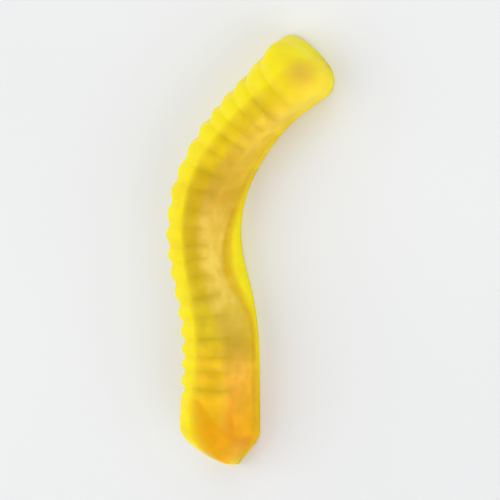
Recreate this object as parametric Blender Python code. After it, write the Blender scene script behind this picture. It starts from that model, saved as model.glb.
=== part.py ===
"""Gummy worm: one moulded sweet with a flat back, a low foot, smooth walls and a ribbed, rounded crest.

Metres, +Z up. The worm lies on its flat back with its bends in the floor plane, its blunt head towards +Y and
its pointed tail towards -Y. The origin is at the middle of the bottom of its bounding box.

Stations are distances along the middle of the back, counted from the tip of the head.
"""

import math
import random

import bmesh
import bpy
from mathutils import Vector

MM = 0.001

# The route of the back's middle line
LENGTH = 63.0 * MM
HEAD_HEADING = math.radians(50.5)  # turned from -Y towards -X
BENDS = (  # middle station, spread along the route, turn
    (15.0 * MM, 20.9 * MM, math.radians(-25.5)),
    (29.7 * MM, 21.4 * MM, math.radians(-43.5)),
    (42.9 * MM, 15.3 * MM, math.radians(19.1)),
)
WALK_STEP = 0.1 * MM

# The back, seen from above
WIDTHS = (  # station and full width
    (0.0, 10.7 * MM),
    (11.0 * MM, 9.1 * MM),
    (30.0 * MM, 8.6 * MM),
    (LENGTH, 9.4 * MM),
)
HEAD_ROUND, HEAD_POWER = 3.6 * MM, 2.55  # 2 is an ellipse, more is squarer and less more pointed
TAIL_ROUND, TAIL_POWER = 5.5 * MM, 1.4
HEAD_TIP_OFFSET, TAIL_TIP_OFFSET = 2.4 * MM, 0.7 * MM  # how far a tip lies off the middle, towards +X

# The section: a foot round the back, drafted side walls and a squarish arch
HEAD_HEIGHT, TAIL_HEIGHT = 7.6 * MM, 8.1 * MM
LIP = 0.25 * MM  # small slope between the back and the foot
FOOT_OUT, FOOT_HEIGHT = 0.3 * MM, 1.2 * MM
FOOT_FACE_START, FOOT_FACE_END, FOOT_FACE_IN = 0.45 * MM, 0.9 * MM, 0.1 * MM  # heights, and how far it slopes
HEAD_WALL, TAIL_WALL, WALL_DRAFT = 2.8 * MM, 4.4 * MM, 0.35 * MM
ARCH_POWER = 2.4  # 2 is an ellipse, more is squarer
ARCH_STEPS = 10
HEAD_LEAN, TAIL_LEAN = 0.08, -0.15  # how far the crest leans over towards +X, as a share of the height
TWIST_START, TWIST_END = 6.0 * MM, 28.0 * MM  # where the head's section turns into the tail's

# The domes over the ends, where the arch runs round to the tip
HEAD_DOME, TAIL_DOME = 4.4 * MM, 7.5 * MM
TIP_WALL_SHARE = 0.25  # how high the wall still is at a tip
DOME_STEPS = 11

# The ribs, parted by narrow V grooves
RIB_COUNT = 18
FIRST_GROOVE, LAST_GROOVE = 5.4 * MM, 52.6 * MM
RIB_CROWDING = 0.06  # above 0 the ribs get closer towards the tail
RIB_DRIFT, RIB_DRIFT_PERIOD, RIB_DRIFT_START = 0.4 * MM, 7.7, 6.0  # wider and narrower ribs in turn
RIB_JITTER = 0.25 * MM
RIB_SEED = 2446
GROOVE_DEPTH, GROOVE_DEPTH_SPREAD = 0.6 * MM, 0.08 * MM
GROOVE_SHARPNESS = 0.75  # below 1 the grooves are narrower than the ribs
RIB_PHASES = (0.0, 0.1, 0.3, 0.5, 0.7, 0.9)  # 0 in a groove, 0.5 on the rib
RIB_FADE = (math.radians(3.0), math.radians(30.0))  # up the arch, where the grooves run out at a wall

WELD = 0.001 * MM

# The sweet's material
LEMON = (0.92, 0.66, 0.03, 1.0)
GLOSS_ROUGHNESS = 0.28
CREASE_ANGLE = math.radians(40.0)


def smoothstep(value):
    """0 at or below 0, 1 at or above 1, and a smooth rise between."""
    value = min(max(value, 0.0), 1.0)
    return value * value * (3.0 - 2.0 * value)


def heading(station):
    """The route's direction as an angle from -Y towards -X."""
    turned = sum(turn * smoothstep((station - middle) / spread + 0.5) for middle, spread, turn in BENDS)
    return HEAD_HEADING + turned


def along(station):
    """The route's direction as a vector."""
    angle = heading(station)
    return Vector((-math.sin(angle), -math.cos(angle), 0.0))


def across(station):
    """The direction square to the route, towards its +X side."""
    angle = heading(station)
    return Vector((math.cos(angle), -math.sin(angle), 0.0))


def walk(stations):
    """The back's middle point at each station, which rise from the head's tip to the tail's."""
    point, reached, points = Vector(), 0.0, []
    for station in stations:
        steps = max(1, math.ceil((station - reached) / WALK_STEP))
        step = (station - reached) / steps
        for index in range(steps):
            point = point + step * along(reached + (index + 0.5) * step)
        reached = station
        points.append(point)
    return points


def closing(distance, length, power):
    """How open an end is at a distance from its round tip: 0 at the tip, 1 from the given length on."""
    left = 1.0 - min(max(distance / length, 0.0), 1.0)
    return math.sqrt(1.0 - left**power)


def width_at(station):
    """Full width of the back, without the rounding of the ends."""
    for (start, width), (end, next_width) in zip(WIDTHS, WIDTHS[1:]):
        if station <= end:
            return width + (next_width - width) * smoothstep((station - start) / (end - start))
    return WIDTHS[-1][1]


def reach(station, side):
    """How far the back reaches from the route to its side of +X, 1, or of -X, -1."""
    half = width_at(station) / 2.0
    if station < LENGTH / 2.0:
        open_share, tip = closing(station, HEAD_ROUND, HEAD_POWER), HEAD_TIP_OFFSET
    else:
        open_share, tip = closing(LENGTH - station, TAIL_ROUND, TAIL_POWER), TAIL_TIP_OFFSET
    return side * tip + (half - side * tip) * open_share


def mixed(station, at_head, at_tail):
    """A value of the section, which changes between the head and the tail as the worm twists."""
    return at_head + (at_tail - at_head) * smoothstep((station - TWIST_START) / (TWIST_END - TWIST_START))


def end_share(station):
    """How much of its height the side wall has, which gets lower towards both tips."""
    open_share = closing(station, HEAD_DOME, 2.0) * closing(LENGTH - station, TAIL_DOME, 2.0)
    return TIP_WALL_SHARE + (1.0 - TIP_WALL_SHARE) * open_share


def grooves():
    """Station and depth of each groove, from the head to the tail."""
    draw = random.Random(RIB_SEED)
    shifts = [RIB_JITTER * draw.uniform(-1.0, 1.0) for _ in range(RIB_COUNT + 1)]
    depths = [GROOVE_DEPTH + GROOVE_DEPTH_SPREAD * draw.uniform(-1.0, 1.0) for _ in range(RIB_COUNT + 1)]
    found = []
    for index in range(RIB_COUNT + 1):
        share = index / RIB_COUNT
        crowded = share + RIB_CROWDING * share * (1.0 - share)
        station = FIRST_GROOVE + (LAST_GROOVE - FIRST_GROOVE) * crowded
        if 0 < index < RIB_COUNT:
            wave = math.sin(2.0 * math.pi * (index - RIB_DRIFT_START) / RIB_DRIFT_PERIOD)
            station += RIB_DRIFT * wave + shifts[index]
        found.append((station, depths[index]))
    return found


def cut_depth(phase, depth):
    """Depth of the V groove at a phase of the rib, which is 0 or 1 in a groove and 0.5 on the crest."""
    return depth * (1.0 - abs(math.sin(math.pi * phase)) ** GROOVE_SHARPNESS)


def dome_stations(length):
    """Distances from a tip to the top of its dome, packed closer towards the tip."""
    return [length * (1.0 - math.cos(math.pi / 2.0 * index / DOME_STEPS)) for index in range(DOME_STEPS + 1)]


def sections():
    """Station and groove depth of every section of the body."""
    lines = grooves()
    pitch = (LAST_GROOVE - FIRST_GROOVE) / RIB_COUNT
    found = [(station, 0.0) for station in dome_stations(HEAD_DOME)]
    run_in = [phase for phase in RIB_PHASES if 0.0 < phase < 0.5]
    found += [(FIRST_GROOVE - phase * pitch, cut_depth(phase, lines[0][1])) for phase in reversed(run_in)]
    for (start, depth), (end, next_depth) in zip(lines, lines[1:]):
        for phase in RIB_PHASES:
            depth_here = depth + (next_depth - depth) * phase
            found.append((start + (end - start) * phase, cut_depth(phase, depth_here)))
    run_out = [phase for phase in RIB_PHASES if phase <= 0.5]
    found += [(LAST_GROOVE + phase * pitch, cut_depth(phase, lines[-1][1])) for phase in run_out]
    return found + [(LENGTH - distance, 0.0) for distance in reversed(dome_stations(TAIL_DOME))]


def column(point, spine, wall, low, top, cut):
    """Points of the skin from the back's edge at the given point up to the crest over the spine."""
    inwards = spine - point
    span = inwards.length
    inwards.normalize()
    profile = [
        (LIP, 0.0),
        (0.0, FOOT_FACE_START * low),
        (FOOT_FACE_IN, FOOT_FACE_END * low),
        (FOOT_OUT, FOOT_HEIGHT * low),
    ]
    start = FOOT_OUT + WALL_DRAFT * low
    fade_start, fade_end = RIB_FADE
    for index in range(ARCH_STEPS + 1):
        angle = math.pi / 2.0 * index / ARCH_STEPS
        level, rise = math.cos(angle), math.sin(angle)
        groove = cut * smoothstep((angle - fade_start) / (fade_end - fade_start))
        inset = span - (span - start) * level ** (2.0 / ARCH_POWER) + groove * level
        height = wall + (top - wall) * rise ** (2.0 / ARCH_POWER) - groove * rise
        profile.append((inset, height))
    profile[-1] = (span, profile[-1][1])
    return [point + inwards * inset + Vector((0.0, 0.0, height)) for inset, height in profile]


def section_places(station, cut, centre, spine_station, spine):
    """The closed outline of one section: up the +X side, over the crest and down the -X side."""
    top = HEAD_HEIGHT + (TAIL_HEIGHT - HEAD_HEIGHT) * spine_station / LENGTH
    lean = across(spine_station) * mixed(spine_station, HEAD_LEAN, TAIL_LEAN)
    low = end_share(station)
    wall = low * mixed(station, HEAD_WALL, TAIL_WALL)
    columns = []
    for side in (1.0, -1.0):
        point = centre + across(station) * (side * reach(station, side))
        columns.append([place + lean * place.z for place in column(point, spine, wall, low, top, cut)])
    right, left = columns
    return right + left[-2::-1]


def extruded(body, ring):
    """Extrudes a ring of the skin and gives the new ring's points in the same order."""
    edges = [body.edges.get((vert, ring[index - 1])) for index, vert in enumerate(ring)]
    made = bmesh.ops.extrude_edge_only(body, edges=edges)["geom"]
    fresh = {piece for piece in made if isinstance(piece, bmesh.types.BMVert)}
    grown = []
    for vert in ring:
        ends = [edge.other_vert(vert) for edge in vert.link_edges]
        grown.append(next(end for end in ends if end in fresh))
    return grown


def build_body():
    """The worm as a skin extruded section by section along the route, welded shut at the tips and domes."""
    found = sections()
    stations = [station for station, _ in found]
    centres = walk(stations)
    first, last = DOME_STEPS, len(found) - 1 - DOME_STEPS
    body, ring = bmesh.new(), []
    for index, (station, cut) in enumerate(found):
        over = min(max(index, first), last)
        places = section_places(station, cut, centres[index], stations[over], centres[over])
        if ring:
            ring = extruded(body, ring)
            for vert, place in zip(ring, places):
                vert.co = place
        else:
            ring = [body.verts.new(place) for place in places]
            for number, vert in enumerate(ring):
                body.edges.new((vert, ring[number - 1]))
    bmesh.ops.remove_doubles(body, verts=body.verts[:], dist=WELD)
    bmesh.ops.recalc_face_normals(body, faces=body.faces[:])
    centre_on_floor(body)
    return body


def centre_on_floor(body):
    """Moves the body so that the origin is at the middle of the bottom of its bounding box."""
    low = Vector([min(vert.co[axis] for vert in body.verts) for axis in range(3)])
    high = Vector([max(vert.co[axis] for vert in body.verts) for axis in range(3)])
    middle = (low + high) / 2.0
    bmesh.ops.translate(body, verts=body.verts[:], vec=(-middle.x, -middle.y, -low.z))


def gummy_material():
    """Lemon jelly with an oiled, glossy skin."""
    material = bpy.data.materials.new("lemon_gummy")
    material.use_nodes = True
    shader = material.node_tree.nodes["Principled BSDF"]
    shader.inputs["Base Color"].default_value = LEMON
    shader.inputs["Roughness"].default_value = GLOSS_ROUGHNESS
    shader.inputs["Metallic"].default_value = 0.0
    return material


def main():
    """Clears the scene and builds the worm in it."""
    for old in list(bpy.data.objects):
        bpy.data.objects.remove(old, do_unlink=True)
    mesh = bpy.data.meshes.new("gummy_worm")
    body = build_body()
    body.to_mesh(mesh)
    body.free()
    mesh.materials.append(gummy_material())
    mesh.shade_smooth()
    mesh.set_sharp_from_angle(angle=CREASE_ANGLE)
    worm = bpy.data.objects.new("gummy_worm", mesh)
    bpy.context.scene.collection.objects.link(worm)


main()
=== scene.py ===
"""Gummy worm: one sweet of lemon jelly, lying on its flat back on a pale studio floor.

Metres, +Z up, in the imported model's own frame: the blunt head points towards +Y, the pointed tail towards -Y.
Stations are distances along the middle of the back, counted from the tip of the head.
The skin is one sheet, wrapped round the body section by section, then welded shut at the tips.
"""

import logging
import math
import random
from collections.abc import Iterable
from dataclasses import dataclass
from enum import Enum

import bmesh
import bpy
import numpy as np
from mathutils import Matrix, Vector, noise


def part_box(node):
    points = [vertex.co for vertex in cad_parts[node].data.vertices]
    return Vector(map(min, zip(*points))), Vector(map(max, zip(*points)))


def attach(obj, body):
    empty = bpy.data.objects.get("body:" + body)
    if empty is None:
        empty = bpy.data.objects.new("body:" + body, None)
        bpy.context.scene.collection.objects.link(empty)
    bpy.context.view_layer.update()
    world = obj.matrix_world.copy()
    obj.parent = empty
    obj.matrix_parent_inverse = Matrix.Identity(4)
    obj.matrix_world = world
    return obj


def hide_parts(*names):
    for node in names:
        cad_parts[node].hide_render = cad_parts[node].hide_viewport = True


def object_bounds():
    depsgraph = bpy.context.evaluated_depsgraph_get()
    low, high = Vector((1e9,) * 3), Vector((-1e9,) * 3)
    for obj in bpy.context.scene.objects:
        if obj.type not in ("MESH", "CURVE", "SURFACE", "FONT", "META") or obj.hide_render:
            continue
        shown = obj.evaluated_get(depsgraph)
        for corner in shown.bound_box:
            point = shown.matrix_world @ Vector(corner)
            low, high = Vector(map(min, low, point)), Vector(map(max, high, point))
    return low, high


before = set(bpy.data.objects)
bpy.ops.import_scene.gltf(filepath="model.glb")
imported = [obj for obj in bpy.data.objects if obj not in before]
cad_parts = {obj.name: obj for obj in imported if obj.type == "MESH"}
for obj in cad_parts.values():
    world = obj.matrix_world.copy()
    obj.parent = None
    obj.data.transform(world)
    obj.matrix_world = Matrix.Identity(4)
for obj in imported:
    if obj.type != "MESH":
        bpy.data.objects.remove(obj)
CAD_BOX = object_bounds()

MM = 0.001
NODE = "gummy_worm"
BODY = "root"
SLOT = "lemon_gummy"
QUARTER_TURN = math.pi / 2.0
ELLIPSE = 2.0  # the power that rounds an end as an ellipse
SHEET = 1.0  # the side of the flat sheet that the skin is wrapped from

Colour = tuple[float, float, float, float]
Band = tuple[float, float]  # where something starts and where it ends, or two values that belong together
Ends = tuple[float, float, float, float]  # where something starts, is full, starts to fade and ends
Ramp = tuple[tuple[float, Colour], ...]

log = logging.getLogger("gummy_worm")


class Side(Enum):
    """A side of the worm, as the sign of its direction across the route."""

    RIGHT = 1.0
    LEFT = -1.0


class Mark(Enum):
    """What the skin's points remember of their place, as names of mesh attributes."""

    STATION = "station"  # 0 at the tip of the head and 1 at the tip of the tail
    CORE = "core"  # 1 where the jelly is thick
    FLANK_TINT_AND_SHEEN = "flank"  # 1 on the right flank, where its tint and a painted sheen go
    GROOVE_SHADE = "groove"  # up to 1 where shade is painted at the bottom of a groove
    CREASE = "crease"  # up to 1 where shade is painted in the crease over the foot
    RIM = "rim"  # up to 1 at the edges that light shines through


def smoothstep(values: np.ndarray | float) -> np.ndarray | float:
    """Rises smoothly from 0 at or below 0 to 1 at or above 1.

    Args:
        values: One number or many.

    Returns:
        The eased numbers.
    """
    held = np.clip(values, 0.0, 1.0)
    return held * held * (3.0 - 2.0 * held)


def rising(values: np.ndarray | float, band: Band) -> np.ndarray | float:
    """Rises smoothly from 0 at a band's start to 1 at its end.

    Args:
        values: One number or many.
        band: The start and the end, which may be the smaller of the two.

    Returns:
        The eased numbers.
    """
    start, end = band
    return smoothstep((values - start) / (end - start))


def nearness(values: np.ndarray, stretch: Band) -> np.ndarray:
    """Rises smoothly from 0 at both ends of a stretch to 1 in its middle.

    Args:
        values: The numbers.
        stretch: The middle, and how far the stretch reaches both ways.

    Returns:
        The eased numbers.
    """
    middle, reach = stretch
    return smoothstep(1.0 - np.abs(values - middle) / reach)


def closing(distances: np.ndarray, length: float, power: float) -> np.ndarray:
    """Tells how open a rounded end is.

    Args:
        distances: Distances from the tip.
        length: The distance from which the end is fully open.
        power: 2 gives an ellipse, more a squarer and less a more pointed end.

    Returns:
        0 at the tip, 1 from the given length on.
    """
    left = 1.0 - np.clip(distances / length, 0.0, 1.0)
    return np.sqrt(1.0 - left**power)


@dataclass(frozen=True)
class Bend:
    """One turn of the route: where its middle is, how far it spreads and how much it turns."""

    middle: float
    spread: float
    turn: float


@dataclass(frozen=True)
class Route:
    """The middle line of the back, in the floor plane."""

    length: float = 63.3 * MM
    head_heading: float = math.radians(50.5)  # turned from -Y towards -X
    bends: tuple[Bend, ...] = (
        Bend(15.0 * MM, 20.9 * MM, math.radians(-25.5)),
        Bend(29.7 * MM, 21.4 * MM, math.radians(-43.5)),
        Bend(42.9 * MM, 15.3 * MM, math.radians(19.1)),
    )
    step: float = 0.02 * MM

    def heading(self, stations: np.ndarray) -> np.ndarray:
        """The route's direction at each station, as an angle from -Y towards -X."""
        shares = [smoothstep((stations - bend.middle) / bend.spread + 0.5) for bend in self.bends]
        return self.head_heading + sum(bend.turn * share for bend, share in zip(self.bends, shares))

    def across(self, stations: np.ndarray) -> np.ndarray:
        """The direction square to the route at each station, towards its right side."""
        angles = self.heading(stations)
        return np.stack([np.cos(angles), -np.sin(angles), np.zeros_like(angles)], axis=-1)

    def places(self, stations: np.ndarray) -> np.ndarray:
        """Walks the route in short steps and reads where each station is.

        Args:
            stations: Distances from the head's tip.

        Returns:
            One point for each station.
        """
        steps = math.ceil(self.length / self.step)
        ends = np.linspace(0.0, self.length, steps + 1)
        angles = self.heading((ends[1:] + ends[:-1]) / 2.0)
        moves = np.stack([-np.sin(angles), -np.cos(angles)], axis=-1) * (self.length / steps)
        walked = np.vstack([np.zeros((1, 2)), np.cumsum(moves, axis=0)])
        x, y = (np.interp(stations, ends, walked[:, axis]) for axis in range(2))
        return np.stack([x, y, np.zeros_like(x)], axis=-1)


@dataclass(frozen=True)
class Tip:
    """How one side of the outline rounds off at a tip."""

    length: float
    power: float
    point: float = 1.0  # above 1 the tip is sharper

    def opened(self, distances: np.ndarray) -> np.ndarray:
        """How open the outline is at distances from the tip, from 0 to 1."""
        return closing(distances, self.length, self.power) ** self.point


@dataclass(frozen=True)
class Plan:
    """The back's outline, seen from above, as its reach to each side of the route."""

    route: Route = Route()
    widths: tuple[Band, ...] = (  # station and full width
        (0.0, 10.7 * MM),
        (11.0 * MM, 9.1 * MM),
        (30.0 * MM, 8.6 * MM),
        (63.3 * MM, 9.4 * MM),
    )
    head: Tip = Tip(3.6 * MM, 2.55)
    head_offset: float = 2.4 * MM  # how far the head's tip lies off the route, to the right
    tail_left: Tip = Tip(4.1 * MM, 1.72, 1.7)
    tail_right: Tip = Tip(4.5 * MM, 1.45, 2.38)
    tail_offset: float = 1.25 * MM

    def width(self, stations: np.ndarray) -> np.ndarray:
        """Measures the full width, without the rounding of the ends.

        Args:
            stations: Distances from the head's tip.

        Returns:
            The width at each station.
        """
        found = np.full_like(stations, self.widths[-1][1])
        for (start, width), (end, next_width) in reversed(list(zip(self.widths, self.widths[1:]))):
            here = width + (next_width - width) * rising(stations, (start, end))
            found = np.where(stations <= end, here, found)
        return found

    def reach(self, stations: np.ndarray, side: Side) -> np.ndarray:
        """Measures the back from the route to one side.

        Args:
            stations: Distances from the head's tip.
            side: The side to measure to.

        Returns:
            The signed reach at each station, positive to the right.
        """
        half = self.width(stations) / 2.0
        at_head = stations < self.route.length / 2.0
        tail = self.tail_right if side is Side.RIGHT else self.tail_left
        open_share = np.where(at_head, self.head.opened(stations), tail.opened(self.route.length - stations))
        tip = np.where(at_head, self.head_offset, self.tail_offset)
        return tip + (side.value * half - tip) * open_share


@dataclass(frozen=True)
class Ribs:
    """The ribs across the crest, parted by narrow grooves."""

    count: int = 18
    first: float = 5.4 * MM
    last: float = 52.6 * MM
    crowding: float = 0.06  # above 0 the ribs get closer towards the tail
    drift: float = 0.4 * MM  # wider and narrower ribs in turn
    drift_period: float = 7.7
    drift_start: float = 6.0
    jitter: float = 0.25 * MM
    seed: int = 2446  # draws where the grooves lie and how deep they are
    depth: float = 0.6 * MM
    depth_spread: float = 0.08 * MM
    crest_share: float = 0.32  # of the depth, on the crest and right of it
    shallow_band: Band = (math.radians(38.0), math.radians(62.0))  # up the left arch, where it shrinks so
    sharpness: float = 0.6  # below 1 the grooves are narrower than the ribs
    left_sharpness: float = 0.9
    softness: float = 0.06  # rounds the bottom of a groove
    fade: Band = (math.radians(3.0), math.radians(30.0))  # up the right arch, where the grooves run out
    left_fade: Band = (0.0, math.radians(16.0))  # and up the left one
    fade_lift: float = math.radians(12.0)  # how much higher up they run out inside the bend
    bend: Band = (32.0 * MM, 15.0 * MM)  # the middle of that stretch and how far it reaches both ways
    fade_spread: float = math.radians(5.0)
    skew: float = 0.16 * MM  # how far a groove runs askew between the crest and a wall
    bow: float = 1.2 * MM  # how far the right ends of the first grooves trail towards the tail
    bow_band: Band = (16.0 * MM, 28.0 * MM)
    slant: float = 0.3 * MM  # how far the last grooves lie closer to the head on the crest than on the left
    slant_band: Band = (39.0 * MM, 43.0 * MM)
    swell: float = 0.07 * MM  # how much ribs differ in height
    dark: tuple[int, ...] = (1, 6, 13, 15, 18)  # the grooves whose painted shade is darkest, counted from 0 at the head
    faint: float = 0.75  # how dark the painted shade of the others is at most
    faint_range: Band = (0.5, 1.0)  # what share of that each of them gets
    spread: float = 0.65  # below 1 the painted shade is broader than the groove
    hand_seed: int = 71  # draws the small differences between ribs

    def grooves(self) -> tuple[np.ndarray, np.ndarray]:
        """Places the grooves from the head to the tail.

        Returns:
            The station and the depth of each groove.
        """
        draw = random.Random(self.seed)
        numbers = np.arange(self.count + 1)
        shifts = self.jitter * np.array([draw.uniform(-1.0, 1.0) for _ in numbers])
        depths = self.depth + self.depth_spread * np.array([draw.uniform(-1.0, 1.0) for _ in numbers])
        share = numbers / self.count
        crowded = share + self.crowding * share * (1.0 - share)
        wave = self.drift * np.sin(2.0 * math.pi * (numbers - self.drift_start) / self.drift_period)
        inner = (numbers > 0) & (numbers < self.count)
        stations = self.first + (self.last - self.first) * crowded + np.where(inner, wave + shifts, 0.0)
        return stations, depths

    def number_at(self, stations: np.ndarray) -> np.ndarray:
        """Counts the grooves up to each station, with shares of a rib.

        Args:
            stations: Distances from the head's tip.

        Returns:
            A count for each station, which is a whole number in a groove.
        """
        lines, _ = self.grooves()
        pitch = (self.last - self.first) / self.count
        marks = np.concatenate([[lines[0] - pitch], lines, [lines[-1] + pitch]])
        return np.interp(stations, marks, np.arange(-1.0, len(lines) + 1.0))

    def groove_share(self, number: np.ndarray, sharpness: float) -> np.ndarray:
        """How much of a point is groove.

        Args:
            number: The count of grooves up to the point.
            sharpness: Below 1 for grooves that are narrower than the ribs.

        Returns:
            1 at a groove's bottom, 0 on the middle of a rib.
        """
        wave = np.sqrt(np.sin(math.pi * number) ** 2 + self.softness**2) / math.hypot(1.0, self.softness)
        inside = (number > -0.5) & (number < self.count + 0.5)
        bottom = self.softness**sharpness
        return np.where(inside, np.clip((1.0 - wave**sharpness) / (1.0 - bottom), 0.0, 1.0), 0.0)

    def painted_groove_shade(self, number: np.ndarray) -> np.ndarray:
        """Tells how dark the painted shade of the groove nearest to each point is.

        Args:
            number: The count of grooves up to each point.

        Returns:
            Up to 1 for the darkest grooves.
        """
        draw = random.Random(self.hand_seed)
        shades = []
        for each in range(self.count + 1):
            shades.append(1.0 if each in self.dark else self.faint * draw.uniform(*self.faint_range))
        return np.array(shades)[np.clip(np.round(number), 0, self.count).astype(int)]

    def cut(self, stations: np.ndarray, turn: float, side: Side) -> tuple[np.ndarray, np.ndarray]:
        """Works out how deep the grooves cut into the arch along one line of it.

        Args:
            stations: The line's stations.
            turn: How far up the arch the line is, from 0 at the wall to a quarter turn on the crest.
            side: The side of the crest that it is on.

        Returns:
            The depth at each station, less where a rib stands a little proud, and how dark the groove's painted
            shade is.
        """
        _, depths = self.grooves()
        draw = random.Random(self.hand_seed)
        numbers = np.arange(len(depths))
        skews, fades, swells = ([draw.uniform(-1.0, 1.0) for _ in numbers] for _ in range(3))
        plain = np.clip(self.number_at(stations), 0.0, self.count)
        down = 1.0 - turn / QUARTER_TURN
        trailing = self.bow * (1.0 - rising(stations, self.bow_band)) if side is Side.RIGHT else 0.0
        turned = self.skew * np.interp(plain, numbers, skews) * down * side.value
        askew = stations + turned - trailing * down**2
        crossed = 1.0 if side is Side.RIGHT else rising(turn, self.shallow_band)
        askew = askew + self.slant * crossed * rising(askew, self.slant_band)
        number = self.number_at(askew)
        late = np.zeros_like(stations)
        if side is Side.RIGHT:
            late = self.fade_spread * np.interp(plain, numbers, fades)
            late = late + self.fade_lift * nearness(stations, self.bend)
        run = rising(turn - late, self.fade if side is Side.RIGHT else self.left_fade)
        level = 1.0 - (1.0 - self.crest_share) * crossed
        sharpness = self.left_sharpness + (self.sharpness - self.left_sharpness) * crossed
        proud = self.swell * np.interp(np.floor(number), numbers, swells) * np.sin(math.pi * number) ** 2
        proud = np.where((number > 0.0) & (number < self.count), proud, 0.0)
        share = self.groove_share(number, sharpness)
        # painted shade at the bottom of the grooves
        dark = run * share**self.spread * self.painted_groove_shade(number)
        return run * (np.interp(number, numbers, depths) * share * level - proud), dark


@dataclass(frozen=True)
class Section:
    """The worm cut across: a dished back, a foot like a bead, drafted walls and a squarish arch."""

    route: Route = Route()
    head_height: float = 7.6 * MM
    tail_height: float = 8.1 * MM
    lip: float = 0.25 * MM  # how far the back's flat rim lies inside the foot
    foot_out: float = 0.3 * MM  # how far the foot stands out from the wall
    foot_middle: float = 0.45 * MM  # how high up it is widest
    foot_height: float = 1.2 * MM  # how high up the crease is in which it ends
    head_foot: float = 0.35  # how much of foot_out there is at the head
    head_foot_run: Band = (4.0 * MM, 20.0 * MM)  # where that grows to the whole of it
    squeezed_height: float = 4.1 * MM  # of the foot, where the bend's inside squeezes it up
    squeezed_out: float = 0.5 * MM
    squeeze: tuple[float, float, float] = (22.5 * MM, 37.2 * MM, 44.8 * MM)  # its start, top and end
    head_wall: float = 2.8 * MM
    tail_wall: float = 4.45 * MM
    draft: float = 0.35 * MM  # how far in the wall leans
    arch_power: float = 2.4  # 2 is an ellipse, more is squarer
    head_lean: float = 0.08  # how far the crest leans to the right, as a share of the height
    tail_lean: float = -0.125
    twist: Band = (6.0 * MM, 28.0 * MM)  # where the head's section turns into the tail's
    head_dome: float = 4.4 * MM
    tail_dome: float = 10.0 * MM
    tail_point: float = 1.15  # above 1 the tail's dome is sharper
    tip_shares: Band = (0.25, 0.0)  # how high foot and wall still are at the head's and the tail's tip
    dish: float = 0.22 * MM  # how far the middle of the back has sunk
    dish_band: Band = (0.35, 0.82)  # from full depth to none, as shares of the way to the edge

    def mixed(self, stations: np.ndarray, at_head: float, at_tail: float) -> np.ndarray:
        """A value that changes between the head and the tail as the worm twists."""
        return at_head + (at_tail - at_head) * rising(stations, self.twist)

    def open_share(self, stations: np.ndarray) -> np.ndarray:
        """How open the section is, from 0 at a tip to 1 between the domes."""
        at_head = closing(stations, self.head_dome, ELLIPSE)
        return at_head * closing(self.route.length - stations, self.tail_dome, ELLIPSE) ** self.tail_point

    def squeezed(self, stations: np.ndarray) -> np.ndarray:
        """How much the bend squeezes the foot on its inside."""
        start, top, end = self.squeeze
        return rising(stations, (start, top)) * (1.0 - rising(stations, (top, end)))

    def feet(self, stations: np.ndarray, side: Side) -> tuple[np.ndarray, np.ndarray]:
        """Measures the foot of one side.

        Args:
            stations: Distances from the head's tip.
            side: The side.

        Returns:
            How high the foot's crease is at each station, and how far in from the outline.
        """
        swollen = self.squeezed(stations) if side is Side.RIGHT else np.zeros_like(stations)
        heights = self.foot_height + (self.squeezed_height - self.foot_height) * swollen
        grown = self.head_foot + (1.0 - self.head_foot) * rising(stations, self.head_foot_run)
        return heights, self.foot_out * grown + (self.squeezed_out - self.foot_out) * swollen


@dataclass(frozen=True)
class Flank:
    """One side of every section, ready for its lines of points to be placed."""

    side: Side
    stations: np.ndarray
    edges: np.ndarray  # the outline on this side
    middles: np.ndarray  # halfway between the outline's two sides
    spines: np.ndarray  # the points of the route that the crest stands over
    squares: np.ndarray  # the direction across the route there
    inwards: np.ndarray  # the direction from the edges to the spines
    spans: np.ndarray  # how far that is
    half_widths: np.ndarray
    leans: np.ndarray  # how far the skin leans over for its height
    open_share: np.ndarray
    low: np.ndarray  # how much there is of the foot's and the wall's height
    feet: np.ndarray  # how high the foot's crease is
    ledges: np.ndarray  # how far in it is
    walls: np.ndarray  # how high the wall ends
    tops: np.ndarray  # how high the crest is

    def place(self, insets: np.ndarray, heights: np.ndarray) -> np.ndarray:
        """Places a line of points.

        Args:
            insets: How far in from the outline they are.
            heights: How high over the back they are.

        Returns:
            One point for each section.
        """
        points = self.edges + self.inwards * insets[:, None]
        points[:, 2] += heights
        return points + self.leans * heights[:, None]

    def across(self, insets: np.ndarray) -> np.ndarray:
        """How far across the worm points are, without their lean: 0 over the route, 1 at the right edge."""
        points = self.edges + self.inwards * insets[:, None]
        return ((points - self.spines) * self.squares).sum(axis=1) / self.half_widths


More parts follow.
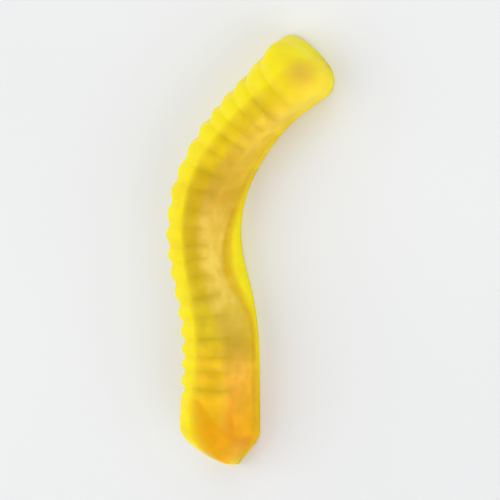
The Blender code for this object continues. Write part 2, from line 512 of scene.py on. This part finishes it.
@dataclass(frozen=True)
class Layout:
    """Where the jelly looks thick, where the right flank has its colours and painted sheen and where edges let
    light through.

    Places across the worm are 0 over the route, and 1 and -1 at the right and the left edge.
    """

    edges: Band = (-0.12, 0.02)  # where the thick jelly begins, and where it does inside the bend
    depths: Band = (0.09, 0.05)  # how far on from there it looks a quarter as thick, and inside the bend
    bend: Band = (32.0 * MM, 14.0 * MM)  # the middle of that stretch and how far it reaches both ways
    tail_shift: float = 0.28  # how much further left the thick jelly begins in the tail
    tail_depth: float = 0.08  # how much larger the depth is there
    tail_run: Band = (48.0 * MM, 57.0 * MM)
    head_share: float = 0.5  # how thick it still looks in the head
    head_run: Band = (3.0 * MM, 10.0 * MM)
    flank_band: Band = (0.42, 0.68)  # where the flank's colour and painted sheen set in
    flank_shift: float = 0.2  # how much further out it does so on the straight end
    flank_run: Band = (40.0 * MM, 47.0 * MM)
    flank_edge: Band = (0.84, 0.96)  # where it gets less again
    flank_loss: float = 0.6
    back_band: Band = (0.9, 0.4)  # where the back is thin and where it is thick
    strip: Ends = (19.0 * MM, 27.0 * MM, 46.0 * MM, 54.0 * MM)  # where the right foot is bright
    strip_rise: float = 0.5  # how far down the foot it is fully bright
    rim_width: float = 0.45 * MM
    rim_runs: Band = (7.0 * MM, 3.0 * MM)  # how far from the head's and the tail's tip the right side has it

    def bright(self, stations: np.ndarray, side: Side, below: np.ndarray) -> np.ndarray:
        """How bright the foot is along one line of the skin, where the bend squeezes it thin.

        Args:
            stations: The line's stations.
            side: The side that it is on.
            below: How far below the crease it is, as a share of the foot.

        Returns:
            1 where the foot is fully bright.
        """
        if side is Side.LEFT:
            return np.zeros_like(stations)
        start, full, fading, end = self.strip
        run = rising(stations, (start, full)) * (1.0 - rising(stations, (fading, end)))
        return run * smoothstep(below / self.strip_rise)

    def core(self, stations: np.ndarray, across: np.ndarray, bright: np.ndarray, under: bool) -> np.ndarray:
        """How thick the jelly looks along one line of the skin.

        Args:
            stations: The line's stations.
            across: Where it is across the worm.
            bright: How bright the foot is there.
            under: Whether the line is on the back.

        Returns:
            1 where the jelly is thick, 0 where it is thin.
        """
        along = self.head_share + (1.0 - self.head_share) * rising(stations, self.head_run)
        bent = nearness(stations, self.bend)
        edge, depth = (plain + (inside - plain) * bent for plain, inside in (self.edges, self.depths))
        in_tail = rising(stations, self.tail_run)
        edge, depth = edge - self.tail_shift * in_tail, depth + self.tail_depth * in_tail
        away = np.maximum(across - edge, 0.0) / depth
        flank = along * (1.0 - (1.0 + away) * np.exp(-away)) * (1.0 - bright)
        return flank + (1.0 - flank) * rising(np.abs(across), self.back_band) * under

    def flank(self, stations: np.ndarray, across: np.ndarray, bright: np.ndarray, under: bool) -> np.ndarray:
        """How much of the flank's colour and painted sheen there is along one line of the skin.

        Args:
            stations: The line's stations.
            across: Where it is across the worm.
            bright: How bright the foot is there.
            under: Whether the line is on the back.

        Returns:
            1 where the flank has its own colour and painted sheen.
        """
        shifted = across - self.flank_shift * rising(stations, self.flank_run)
        share = rising(shifted, self.flank_band) * (1.0 - bright) * (not under)
        return share * (1.0 - self.flank_loss * rising(across, self.flank_edge))

    def rim(self, stations: np.ndarray, length: float, insets: np.ndarray, side: Side) -> np.ndarray:
        """How much light shines through the edge: all along the left side and round both tips.

        Args:
            stations: The line's stations.
            length: The worm's length.
            insets: How far in from the outline the line is.
            side: The side that it is on.

        Returns:
            Up to 1 at the edge.
        """
        edge = smoothstep(1.0 - insets / self.rim_width)
        if side is Side.LEFT:
            return edge
        head, tail = self.rim_runs
        at_head, at_tail = 1.0 - smoothstep(stations / head), 1.0 - smoothstep((length - stations) / tail)
        return edge * np.maximum(at_head, at_tail)


@dataclass(frozen=True)
class Mesh:
    """How finely the skin is divided."""

    back: int = 14  # from the middle of the back to its rim
    bead: int = 5
    face: int = 8
    wall: int = 8
    arch: int = 32
    dome: int = 40  # sections along each dome
    rib: int = 21  # sections along each rib
    head_plain: int = 14  # on the stretch between the head's dome and the ribs
    tail_plain: int = 28

    def around(self) -> list[tuple[str, float]]:
        """Lists one side's points, from the middle of the back up to the crest.

        Returns:
            The name of each point's part, and how far up that part it is, from 0 to 1.
        """
        parts = (("back", self.back), ("bead", self.bead), ("face", self.face), ("wall", self.wall))
        points = [(name, index / count) for name, count in parts for index in range(count)]
        return points + [("arch", index / self.arch) for index in range(self.arch + 1)]

    def stations(self, ribs: Ribs, section: Section) -> np.ndarray:
        """Places the sections, closer together towards the tips.

        Args:
            ribs: The grooves, between which sections are spread evenly.
            section: The section, which gives the domes' lengths.

        Returns:
            Rising stations from tip to tip.
        """
        length = section.route.length
        lines, _ = ribs.grooves()
        packed = 1.0 - np.cos(np.linspace(0.0, QUARTER_TURN, self.dome + 1))
        runs = [section.head_dome * packed]
        runs.append(np.linspace(section.head_dome, lines[0], self.head_plain + 1)[1:])
        for start, end in zip(lines, lines[1:]):
            runs.append(np.linspace(start, end, self.rib + 1)[1:])
        runs.append(np.linspace(lines[-1], length - section.tail_dome, self.tail_plain + 1)[1:])
        runs.append((length - section.tail_dome * packed)[::-1][1:])
        return np.concatenate(runs)


@dataclass(frozen=True)
class Unevenness:
    """Slow swells and small dents of the skin, as cast jelly has them."""

    swell_depth: float = 0.05 * MM
    swell_size: float = 5.0 * MM
    dent_depth: float = 0.018 * MM
    dent_size: float = 1.1 * MM

    def at(self, place: Vector) -> float:
        """Measures how uneven the skin is.

        Args:
            place: A point of the skin.

        Returns:
            How far the skin stands out there.
        """
        swell = noise.noise(place / self.swell_size)
        dent = noise.noise(place / self.dent_size)
        return self.swell_depth * swell + self.dent_depth * dent


class NodeTree:
    """Adds nodes to one node tree and joins them."""

    def __init__(self, tree: bpy.types.NodeTree) -> None:
        """Keeps the tree that the nodes are added to."""
        self.tree = tree

    def add(self, kind: str, **settings: object) -> bpy.types.Node:
        """Adds one node.

        Args:
            kind: Blender's name for the node's type.
            **settings: Properties of the node.

        Returns:
            The new node.
        """
        node = self.tree.nodes.new(kind)
        for name, value in settings.items():
            setattr(node, name, value)
        return node

    def feed(self, socket: bpy.types.NodeSocket, value: object) -> None:
        """Links another node's socket to a socket, or sets its value.

        Args:
            socket: The socket that is fed.
            value: Another node's socket, or a plain value.
        """
        if isinstance(value, bpy.types.NodeSocket):
            self.tree.links.new(value, socket)
        else:
            socket.default_value = value

    def place(self) -> bpy.types.NodeSocket:
        """Reads the object's own coordinates."""
        return self.add("ShaderNodeTexCoord").outputs["Object"]

    def mark(self, mark: Mark) -> bpy.types.NodeSocket:
        """Reads one of the skin's marks."""
        return self.add("ShaderNodeAttribute", attribute_name=mark.value).outputs["Fac"]

    def ease(self, value: object, band: Band, to: Band = (0.0, 1.0)) -> bpy.types.NodeSocket:
        """Eases a value from one band to another.

        Args:
            value: The value to ease.
            band: Where it starts and where it ends.
            to: What it becomes there.

        Returns:
            The eased value.
        """
        node = self.add("ShaderNodeMapRange", interpolation_type="SMOOTHSTEP")
        for name, given in zip(("Value", "From Min", "From Max", "To Min", "To Max"), (value, *band, *to)):
            self.feed(node.inputs[name], given)
        return node.outputs["Result"]

    def combine(self, operation: str, first: object, second: object) -> bpy.types.NodeSocket:
        """Joins two values.

        Args:
            operation: Blender's name for the way they join.
            first: A socket or a number.
            second: A socket or a number.

        Returns:
            The joined value.
        """
        node = self.add("ShaderNodeMath", operation=operation)
        self.feed(node.inputs[0], first)
        self.feed(node.inputs[1], second)
        return node.outputs["Value"]

    def times(self, first: object, second: object) -> bpy.types.NodeSocket:
        """Multiplies two values."""
        return self.combine("MULTIPLY", first, second)

    def blend(self, share: object, first: object, second: object, mode: str = "MIX") -> bpy.types.NodeSocket:
        """Blends two colours.

        Args:
            share: How much of the second colour there is.
            first: The colour below.
            second: The colour above.
            mode: Blender's name for the way they blend.

        Returns:
            The blended colour.
        """
        node = self.add("ShaderNodeMix", data_type="RGBA", blend_type=mode)
        self.feed(node.inputs["Factor"], share)
        below, above = (socket for socket in node.inputs if socket.type == "RGBA")
        self.feed(below, first)
        self.feed(above, second)
        return next(socket for socket in node.outputs if socket.type == "RGBA")

    def noise(self, place: object, scale: object, detail: float) -> bpy.types.NodeSocket:
        """Makes a cloud of values round one half.

        Args:
            place: Where the cloud is read.
            scale: How fine it is.
            detail: How many finer clouds lie over it.

        Returns:
            The cloud's value.
        """
        node = self.add("ShaderNodeTexNoise")
        self.feed(node.inputs["Vector"], place)
        self.feed(node.inputs["Scale"], scale)
        self.feed(node.inputs["Detail"], detail)
        return node.outputs["Fac"]


@dataclass(frozen=True)
class SurfaceClouds:
    """The node group that mottles a surface and dimples it."""

    band: Band = (0.3, 0.7)  # the cloud's values that give no mottle and the full mottle
    cloud_detail: float = 3.0
    dimple_detail: float = 2.0

    def group(self) -> bpy.types.NodeTree:
        """Makes the group.

        Returns:
            The group: a place and the scales of clouds and dimples go in, a mottle and a height come out.
        """
        group = bpy.data.node_groups.new("surface_clouds", "ShaderNodeTree")
        sockets = group.interface
        sockets.new_socket("Place", in_out="INPUT", socket_type="NodeSocketVector")
        for name in ("Cloud Scale", "Dimple Scale"):
            sockets.new_socket(name, in_out="INPUT", socket_type="NodeSocketFloat")
        for name in ("Mottle", "Height"):
            sockets.new_socket(name, in_out="OUTPUT", socket_type="NodeSocketFloat")
        nodes = NodeTree(group)
        given = nodes.add("NodeGroupInput").outputs
        result = nodes.add("NodeGroupOutput").inputs
        clouds = nodes.noise(given["Place"], given["Cloud Scale"], self.cloud_detail)
        dimples = nodes.noise(given["Place"], given["Dimple Scale"], self.dimple_detail)
        nodes.feed(result["Mottle"], nodes.ease(clouds, self.band))
        nodes.feed(result["Height"], dimples)
        return group


def clouded(
    nodes: NodeTree, group: bpy.types.NodeTree, scales: Band, depth: float
) -> tuple[bpy.types.NodeSocket, bpy.types.NodeSocket]:
    """Gives a material its clouds and its dimples.

    Args:
        nodes: The material's nodes.
        group: The node group that makes them.
        scales: How fine the clouds and the dimples are.
        depth: How deep the dimples are.

    Returns:
        The mottle and the dimpled surface's normal.
    """
    clouds = nodes.add("ShaderNodeGroup", node_tree=group)
    for name, value in zip(("Place", "Cloud Scale", "Dimple Scale"), (nodes.place(), *scales)):
        nodes.feed(clouds.inputs[name], value)
    bump = nodes.add("ShaderNodeBump")
    nodes.feed(bump.inputs["Height"], clouds.outputs["Height"])
    nodes.feed(bump.inputs["Distance"], depth)
    return clouds.outputs["Mottle"], bump.outputs["Normal"]


@dataclass(frozen=True)
class LemonJelly:
    """Translucent lemon jelly, bright where thin, golden where thick, oiled, with painted shade, sheen and edge
    glow.
    """

    clouds: bpy.types.NodeTree
    lemon: Colour = (0.95, 0.78, 0.008, 1.0)  # thin jelly
    cores: Ramp = (  # thick jelly along the worm, at shares of its length
        (0.10, (0.88, 0.66, 0.024, 1.0)),
        (0.17, (0.86, 0.63, 0.018, 1.0)),
        (0.28, (0.90, 0.66, 0.011, 1.0)),
        (0.40, (0.73, 0.49, 0.014, 1.0)),
        (0.68, (0.76, 0.58, 0.020, 1.0)),
        (0.80, (0.95, 0.60, 0.018, 1.0)),
        (0.90, (0.94, 0.57, 0.008, 1.0)),
        (0.96, (0.86, 0.41, 0.001, 1.0)),
    )
    flank_tints_and_sheen: Ramp = (  # the right flank along the worm: its tint with a painted sheen over it
        (0.15, (0.97, 0.68, 0.055, 1.0)),
        (0.38, (0.71, 0.43, 0.030, 1.0)),
        (0.50, (0.92, 0.67, 0.110, 1.0)),
        (0.66, (0.84, 0.62, 0.090, 1.0)),
        (0.73, (0.62, 0.41, 0.035, 1.0)),
        (0.80, (0.94, 0.50, 0.055, 1.0)),
        (0.90, (0.88, 0.39, 0.006, 1.0)),
        (0.96, (0.79, 0.30, 0.001, 1.0)),
    )
    # painted shade at the bottom of the grooves
    groove: Colour = (0.55, 0.41, 0.002, 1.0)
    # painted shade in the crease over the foot
    crease: Colour = (0.76, 0.49, 0.001, 1.0)
    # painted glow where light shines through the edges
    rim: Colour = (0.97, 0.80, 0.07, 1.0)
    spot: Colour = (0.72, 0.46, 0.065, 1.0)  # a darker peach patch in the head
    shade: Colour = (0.80, 0.72, 0.50, 1.0)  # what the clouds in thick jelly multiply its colour by
    spot_place: tuple[float, float, float] = (9.7 * MM, 24.7 * MM, 6.0 * MM)
    spot_band: Band = (3.2 * MM, 0.2 * MM)  # how far from its middle it starts and is full
    spot_share: float = 0.65
    mottle_share: float = 0.15
    shade_share: float = 0.8  # how much of that there is where the clouds are thickest
    rim_share: float = 0.5
    # how strongly the grooves' painted shade shows
    groove_share: float = 0.52
    thin_groove_shade: float = 0.15  # how much of that is left where the jelly is thin
    # how strongly the crease's painted shade shows
    crease_shade_share: float = 0.95
    ragged: float = 0.2  # how uneven the edge of the thick jelly is
    crease_shade_band: Band = (0.30, 0.42)  # the shares of the length between which the crease's painted shade sets in
    scales: Band = (420.0, 1600.0)  # of clouds and dimples
    dimple_depth: float = 0.02 * MM
    roughness: Band = (0.28, 0.38)
    scatter_share: float = 0.8
    scatter_radius: tuple[float, float, float] = (1.0, 0.95, 0.25)
    scatter_depth: float = 2.2 * MM
    refraction: float = 1.42
    gloss: float = 0.13
    oil: float = 0.06
    oil_roughness: float = 0.2

    def ramp(self, nodes: NodeTree, station: bpy.types.NodeSocket, colours: Ramp) -> bpy.types.NodeSocket:
        """Makes a colour that changes along the worm.

        Args:
            nodes: The material's nodes.
            station: The share of the worm's length.
            colours: The colours, at shares of the length.

        Returns:
            The colour.
        """
        ramp = nodes.add("ShaderNodeValToRGB")
        stops = ramp.color_ramp.elements  # a new ramp has two of them
        for place, _ in colours[len(stops) :]:
            stops.new(place)
        for stop, (place, colour) in zip(stops, colours):
            stop.position, stop.color = place, colour
        nodes.feed(ramp.inputs["Fac"], station)
        return ramp.outputs["Color"]

    def colour(self, nodes: NodeTree, mottle: bpy.types.NodeSocket) -> bpy.types.NodeSocket:
        """Mixes the jelly's colour from the skin's marks, with its painted shade, sheen and glow.

        Args:
            nodes: The material's nodes.
            mottle: A slow cloud over the surface.

        Returns:
            The colour.
        """
        station = nodes.mark(Mark.STATION)
        inner, outer = (self.ramp(nodes, station, colours) for colours in (self.cores, self.flank_tints_and_sheen))
        # the right flank's tint, with a painted sheen over it
        thick = nodes.blend(nodes.mark(Mark.FLANK_TINT_AND_SHEEN), inner, outer)
        uneven = nodes.ease(mottle, (0.0, 1.0), (-self.ragged / 2.0, self.ragged / 2.0))
        core = nodes.combine("ADD", nodes.mark(Mark.CORE), uneven)
        jelly = nodes.blend(core, self.lemon, thick)
        jelly = nodes.blend(nodes.times(mottle, self.mottle_share), jelly, thick)
        # painted shade in the grooves, fainter where the jelly is thin
        groove_shade = nodes.times(nodes.mark(Mark.GROOVE_SHADE), self.groove_share)
        groove_shade = nodes.times(groove_shade, nodes.ease(core, (0.0, 1.0), (self.thin_groove_shade, 1.0)))
        jelly = nodes.blend(groove_shade, jelly, self.groove)
        # painted shade in the crease over the foot
        painted_crease_shade = nodes.times(nodes.mark(Mark.CREASE), self.crease_shade_share)
        painted_crease_shade = nodes.times(painted_crease_shade, nodes.ease(station, self.crease_shade_band))
        jelly = nodes.blend(painted_crease_shade, jelly, self.crease)
        # painted glow at the edges that light shines through
        jelly = nodes.blend(nodes.times(nodes.mark(Mark.RIM), self.rim_share), jelly, self.rim)
        shaded = nodes.times(nodes.times(nodes.combine("SUBTRACT", 1.0, mottle), core), self.shade_share)
        jelly = nodes.blend(shaded, jelly, self.shade, mode="MULTIPLY")
        away = nodes.add("ShaderNodeVectorMath", operation="DISTANCE")
        for socket, point in zip(away.inputs, (nodes.place(), self.spot_place)):
            nodes.feed(socket, point)
        in_spot = nodes.ease(away.outputs["Value"], self.spot_band)
        return nodes.blend(nodes.times(in_spot, self.spot_share), jelly, self.spot)

    def material(self) -> bpy.types.Material:
        """Builds the material.

        Returns:
            The material.
        """
        made = bpy.data.materials.new(SLOT)
        made.use_nodes = True
        nodes = NodeTree(made.node_tree)
        mottle, normal = clouded(nodes, self.clouds, self.scales, self.dimple_depth)
        shader = made.node_tree.nodes["Principled BSDF"].inputs
        nodes.feed(shader["Base Color"], self.colour(nodes, mottle))
        nodes.feed(shader["Roughness"], nodes.ease(mottle, (0.0, 1.0), self.roughness))
        nodes.feed(shader["Normal"], normal)
        shader["Subsurface Weight"].default_value = self.scatter_share
        shader["Subsurface Radius"].default_value = self.scatter_radius
        shader["Subsurface Scale"].default_value = self.scatter_depth
        shader["IOR"].default_value = self.refraction
        shader["Specular IOR Level"].default_value = self.gloss
        shader["Coat Weight"].default_value = self.oil
        shader["Coat Roughness"].default_value = self.oil_roughness
        return made


@dataclass(frozen=True)
class PaleFloor:
    """Matt, pale studio floor."""

    clouds: bpy.types.NodeTree
    light: Colour = (0.86, 0.86, 0.85, 1.0)
    shade: Colour = (0.83, 0.83, 0.82, 1.0)
    scales: Band = (9.0, 900.0)  # of clouds and grain
    grain_depth: float = 0.01 * MM
    roughness: float = 0.7

    def material(self) -> bpy.types.Material:
        """Builds the material.

        Returns:
            The material.
        """
        made = bpy.data.materials.new("pale_floor")
        made.use_nodes = True
        nodes = NodeTree(made.node_tree)
        mottle, normal = clouded(nodes, self.clouds, self.scales, self.grain_depth)
        shader = made.node_tree.nodes["Principled BSDF"].inputs
        nodes.feed(shader["Base Color"], nodes.blend(mottle, self.light, self.shade))
        nodes.feed(shader["Normal"], normal)
        shader["Roughness"].default_value = self.roughness
        return made


@dataclass(frozen=True)
class GummyWorm:
    """The sweet itself: one solid of jelly."""

    route: Route = Route()
    plan: Plan = Plan()
    section: Section = Section()
    ribs: Ribs = Ribs()
    layout: Layout = Layout()
    mesh: Mesh = Mesh()
    unevenness: Unevenness = Unevenness()
    weld: float = 0.0015 * MM  # how close points are to be welded
    rounding: float = 0.5  # how far each point moves towards the middle of its neighbours
    crease_shade_above: float = 0.5 * MM  # how far up and down from the crease its painted shade reaches
    crease_shade_below: float = 1.7 * MM
    notch_share: float = 0.25  # how much fainter the crease's painted shade is between the grooves

    def flank(self, stations: np.ndarray, side: Side) -> Flank:
        """Works out what the points on one side of the sections have in common.

        Args:
            stations: The sections' stations.
            side: The side.

        Returns:
            The flank.
        """
        cut = self.section
        spine_stations = np.clip(stations, cut.head_dome, self.route.length - cut.tail_dome)
        centres, spines = self.route.places(stations), self.route.places(spine_stations)
        square = self.route.across(stations)
        other = Side.LEFT if side is Side.RIGHT else Side.RIGHT
        edges, far_edges = (
            centres + square * self.plan.reach(stations, each)[:, None] for each in (side, other)
        )
        spans = np.linalg.norm(spines - edges, axis=1)
        tip = np.where(stations < self.route.length / 2.0, *cut.tip_shares)
        low = tip + (1.0 - tip) * cut.open_share(stations)
        feet, ledges = cut.feet(stations, side)
        lean = cut.mixed(spine_stations, cut.head_lean, cut.tail_lean)
        return Flank(
            side=side,
            stations=stations,
            edges=edges,
            middles=(edges + far_edges) / 2.0,
            spines=spines,
            squares=self.route.across(spine_stations),
            inwards=(spines - edges) / spans[:, None],
            spans=spans,
            half_widths=self.plan.width(stations) / 2.0,
            leans=self.route.across(spine_stations) * lean[:, None],
            open_share=cut.open_share(stations),
            low=low,
            feet=low * feet,
            ledges=low * ledges,
            walls=low * cut.mixed(stations, cut.head_wall, cut.tail_wall),
            tops=cut.head_height + (cut.tail_height - cut.head_height) * spine_stations / self.route.length,
        )

    def back_line(self, flank: Flank, share: float) -> np.ndarray:
        """Places a line of points on the back.

        Args:
            flank: The side that they are on.
            share: How far out the line is, from the middle at 0 to the rim at 1.

        Returns:
            One point for each section.
        """
        cut = self.section
        sunk = cut.dish * flank.open_share * (1.0 - rising(share, cut.dish_band))
        rim = flank.edges + flank.inwards * np.minimum(cut.lip, flank.spans)[:, None]
        points = flank.middles + (rim - flank.middles) * share
        points[:, 2] += sunk
        return points

    def side_line(self, flank: Flank, part: str, share: float) -> tuple[np.ndarray, np.ndarray]:
        """Measures a line of points on the bead, the foot's face or the wall.

        Args:
            flank: The side that they are on.
            part: The name of the part.
            share: How far up the part the line is.

        Returns:
            How far in from the outline and how high over the back the points are.
        """
        cut = self.section
        turn = QUARTER_TURN * share
        middle = cut.foot_middle * flank.low
        if part == "bead":
            return np.full_like(flank.low, cut.lip * (1.0 - math.sin(turn))), middle * (1.0 - math.cos(turn))
        if part == "face":
            return flank.ledges * (1.0 - math.cos(turn)), middle + (flank.feet - middle) * math.sin(turn)
        return flank.ledges + cut.draft * flank.low * share, flank.feet + (flank.walls - flank.feet) * share

    def arch_line(self, flank: Flank, share: float) -> tuple[np.ndarray, np.ndarray, np.ndarray]:
        """Measures a line of points on the arch.

        Args:
            flank: The side that they are on.
            share: How far up the arch the line is.

        Returns:
            How far in from the outline and how high over the back the points are, and how dark their painted
            groove shade is.
        """
        cut = self.section
        turn = QUARTER_TURN * share
        level, rise = math.cos(turn), math.sin(turn)
        depth, dark = self.ribs.cut(flank.stations, turn, flank.side)
        start = flank.ledges + cut.draft * flank.low
        insets = flank.spans - (flank.spans - start) * level ** (2.0 / cut.arch_power) + depth * level
        heights = flank.walls + (flank.tops - flank.walls) * rise ** (2.0 / cut.arch_power) - depth * rise
        if share == 1.0:
            insets = flank.spans  # both sides meet on the crest
        return insets, heights, dark

    def side_lines(self, stations: np.ndarray, side: Side) -> tuple[np.ndarray, dict[Mark, np.ndarray]]:
        """Places one side's points of every section, from the middle of the back up to the crest.

        Args:
            stations: The sections' stations.
            side: The side.

        Returns:
            The places and the marks, with a row for each section.
        """
        flank = self.flank(stations, side)
        notches = self.ribs.groove_share(self.ribs.number_at(stations), self.ribs.sharpness)
        lines: list[np.ndarray] = []
        marks: dict[Mark, list[np.ndarray]] = {mark: [] for mark in Mark}
        for part, share in self.mesh.around():
            dark, height = np.zeros_like(stations), np.zeros_like(stations)
            inset = flank.spans * (1.0 - share)
            if part == "back":
                lines.append(self.back_line(flank, share))
            elif part == "arch":
                inset, height, dark = self.arch_line(flank, share)
                lines.append(flank.place(inset, height))
            else:
                inset, height = self.side_line(flank, part, share)
                lines.append(flank.place(inset, height))
            # painted shade in the crease over the foot, fading above and below it
            over = height - flank.feet
            away = np.where(over > 0.0, over / self.crease_shade_above, -over / self.crease_shade_below)
            crease_shade = np.clip(1.0 - away, 0.0, 1.0) * (part in ("face", "wall"))
            below = np.clip(-over / np.maximum(flank.feet, self.weld), 0.0, 1.0)
            bright = self.layout.bright(stations, side, below)
            across, under = flank.across(inset), part == "back"
            marks[Mark.STATION].append(stations / self.route.length)
            marks[Mark.CORE].append(self.layout.core(stations, across, bright, under))
            marks[Mark.FLANK_TINT_AND_SHEEN].append(self.layout.flank(stations, across, bright, under))
            marks[Mark.RIM].append(self.layout.rim(stations, self.route.length, inset, side))
            marks[Mark.GROOVE_SHADE].append(dark)
            marks[Mark.CREASE].append(crease_shade * (1.0 - self.notch_share * (1.0 - notches)))
        return np.stack(lines, axis=1), {mark: np.stack(values, axis=1) for mark, values in marks.items()}

    def skin(self) -> bmesh.types.BMesh:
        """Wraps a flat sheet round the body, one row of it for each section, and welds it shut.

        Returns:
            The closed skin, with its marks.
        """
        stations = self.mesh.stations(self.ribs, self.section)
        right, right_marks = self.side_lines(stations, Side.RIGHT)
        left, left_marks = self.side_lines(stations, Side.LEFT)
        places = np.concatenate([right, left[:, ::-1]], axis=1)
        marks = {
            mark: np.concatenate([right_marks[mark], left_marks[mark][:, ::-1]], axis=1) for mark in Mark
        }
        skin = bmesh.new()
        rows, columns = places.shape[:2]
        bmesh.ops.create_grid(skin, x_segments=columns - 1, y_segments=rows - 1, size=SHEET / 2.0)
        layers = {mark: skin.verts.layers.float.new(mark.value) for mark in marks}
        for vert in skin.verts:
            column = round((vert.co.x / SHEET + 0.5) * (columns - 1))
            row = round((vert.co.y / SHEET + 0.5) * (rows - 1))
            vert.co = places[row, column]
            for mark, layer in layers.items():
                vert[layer] = marks[mark][row, column]
        bmesh.ops.remove_doubles(skin, verts=skin.verts[:], dist=self.weld)
        bmesh.ops.recalc_face_normals(skin, faces=skin.faces[:])
        return skin

    def roughen(self, skin: bmesh.types.BMesh) -> None:
        """Rounds the sharpest lines a little and gives the skin its slow swells and dents.

        Args:
            skin: The closed skin, which is changed.
        """
        bmesh.ops.smooth_vert(
            skin, verts=skin.verts[:], factor=self.rounding, use_axis_x=True, use_axis_y=True, use_axis_z=True
        )
        skin.normal_update()
        moves = [vert.normal * self.unevenness.at(vert.co) for vert in skin.verts]
        for vert, move in zip(skin.verts, moves):
            vert.co += move
            vert.co.z = max(vert.co.z, 0.0)

    def settle(self, skin: bmesh.types.BMesh) -> None:
        """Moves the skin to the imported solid: centred across it, level with its head and on the same floor.

        Args:
            skin: The closed skin, which is moved.
        """
        low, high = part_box(NODE)
        places = np.array([vert.co for vert in skin.verts])
        least, most = places.min(axis=0), places.max(axis=0)
        move = ((low.x + high.x - least[0] - most[0]) / 2.0, high.y - most[1], low.z - least[2])
        bmesh.ops.translate(skin, verts=skin.verts[:], vec=move)

    def build(self, finish: LemonJelly) -> bpy.types.Object:
        """Builds and dresses the worm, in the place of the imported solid.

        Args:
            finish: The jelly.

        Returns:
            The finished piece.
        """
        skin = self.skin()
        self.settle(skin)
        self.roughen(skin)
        data = bpy.data.meshes.new("gummy_worm_skin")
        skin.to_mesh(data)
        skin.free()
        data.shade_smooth()
        data.materials.append(finish.material())
        piece = bpy.data.objects.new("gummy_worm_skin", data)
        bpy.context.scene.collection.objects.link(piece)
        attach(piece, BODY)
        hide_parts(NODE)
        return piece


@dataclass(frozen=True)
class Softbox:
    """A square of soft light that faces the middle of the worm."""

    name: str
    direction: tuple[float, float, float]
    distance: float
    size: float
    power: float  # in watts

    def hang(self, target: Vector) -> bpy.types.Object:
        """Hangs the light.

        Args:
            target: What it faces.

        Returns:
            The light.
        """
        data = bpy.data.lights.new(self.name, "AREA")
        data.shape = "SQUARE"
        data.size = self.size
        data.energy = self.power
        lamp = bpy.data.objects.new(self.name, data)
        towards = Vector(self.direction).normalized()
        facing = towards.to_track_quat("Z", "Y").to_matrix().to_4x4()
        lamp.matrix_world = Matrix.Translation(target + towards * self.distance) @ facing
        bpy.context.scene.collection.objects.link(lamp)
        return lamp


@dataclass(frozen=True)
class Studio:
    """The pale floor, the soft lights, the sky and the camera."""

    floor_size: float = 3.0
    floor_cells: int = 8
    floor_drop: float = 0.02 * MM  # keeps the floor clear of the back's rim
    tilt: float = math.radians(30.0)  # the camera's angle from straight above
    turn: float = math.radians(10.0)  # which way it tilts, from +X towards +Y
    lens: float = 300.0  # in millimetres, as the sensor's width is
    sensor: float = 36.0
    view_width: float = 68.0 * MM
    aim: Band = (0.58 * MM, 0.25 * MM)  # how far right of and above the worm's middle the camera looks
    sky: Colour = (0.95, 0.97, 1.0, 1.0)
    sky_strength: float = 0.66
    softboxes: tuple[Softbox, ...] = (
        Softbox("right", (0.8, -0.45, 0.3), 0.6, 0.6, 1.9),
        Softbox("left", (-0.8, -0.05, 0.55), 0.6, 0.6, 1.5),
        Softbox("back", (0.1, 0.9, 0.6), 0.6, 0.5, 0.6),
    )

    def floor(self, finish: PaleFloor) -> bpy.types.Object:
        """Lays the floor just under the worm.

        Args:
            finish: The floor's material.

        Returns:
            The floor.
        """
        sheet = bmesh.new()
        cells = self.floor_cells
        bmesh.ops.create_grid(sheet, x_segments=cells, y_segments=cells, size=self.floor_size / 2.0)
        bmesh.ops.translate(sheet, verts=sheet.verts[:], vec=(0.0, 0.0, -self.floor_drop))
        data = bpy.data.meshes.new("studio_floor")
        sheet.to_mesh(data)
        sheet.free()
        data.materials.append(finish.material())
        floor = bpy.data.objects.new("studio_floor", data)
        bpy.context.scene.collection.objects.link(floor)
        return floor

    def light(self, target: Vector) -> None:
        """Hangs the softboxes and sets the sky.

        Args:
            target: What the softboxes face.
        """
        for softbox in self.softboxes:
            softbox.hang(target)
        world = bpy.data.worlds.new("studio_sky")
        world.use_nodes = True
        background = world.node_tree.nodes["Background"]
        background.inputs["Color"].default_value = self.sky
        background.inputs["Strength"].default_value = self.sky_strength
        bpy.context.scene.world = world
        bpy.context.scene.view_settings.view_transform = "Standard"

    def camera(self, target: Vector) -> bpy.types.Object:
        """Looks down at the worm from the side that its walls show on, with the head up in the picture.

        Args:
            target: The middle of the picture.

        Returns:
            The camera.
        """
        lean = math.sin(self.tilt)
        back = Vector((lean * math.cos(self.turn), lean * math.sin(self.turn), math.cos(self.tilt)))
        right = Vector((back.z, 0.0, -back.x)).normalized()
        up = back.cross(right)
        data = bpy.data.cameras.new("photo_view")
        data.lens, data.sensor_width, data.clip_start = self.lens, self.sensor, 1.0 * MM
        aim = target + right * self.aim[0] + up * self.aim[1]
        seat = aim + back * (self.view_width * self.lens / self.sensor)
        camera = bpy.data.objects.new("photo_view", data)
        camera.matrix_world = Matrix.Translation(seat) @ Matrix((right, up, back)).transposed().to_4x4()
        bpy.context.scene.collection.objects.link(camera)
        bpy.context.scene.camera = camera
        return camera


def report(pieces: Iterable[bpy.types.Object]) -> None:
    """Logs each piece with its size and its number of faces.

    Args:
        pieces: The finished pieces.
    """
    for piece in pieces:
        size = ", ".join(f"{length / MM:.1f}" for length in piece.dimensions)
        log.info("%s: %s mm, %d faces", piece.name, size, len(piece.data.polygons))


def main() -> None:
    """Builds the worm, then the studio round it."""
    logging.basicConfig(level=logging.INFO, format="%(name)s: %(message)s")
    clouds = SurfaceClouds().group()
    worm = GummyWorm().build(LemonJelly(clouds))
    low, high = CAD_BOX
    middle = (low + high) / 2.0
    studio = Studio()
    floor = studio.floor(PaleFloor(clouds))
    studio.light(middle)
    studio.camera(middle)
    bpy.context.view_layer.update()
    report([worm, floor])


if __name__ == "__main__":
    main()
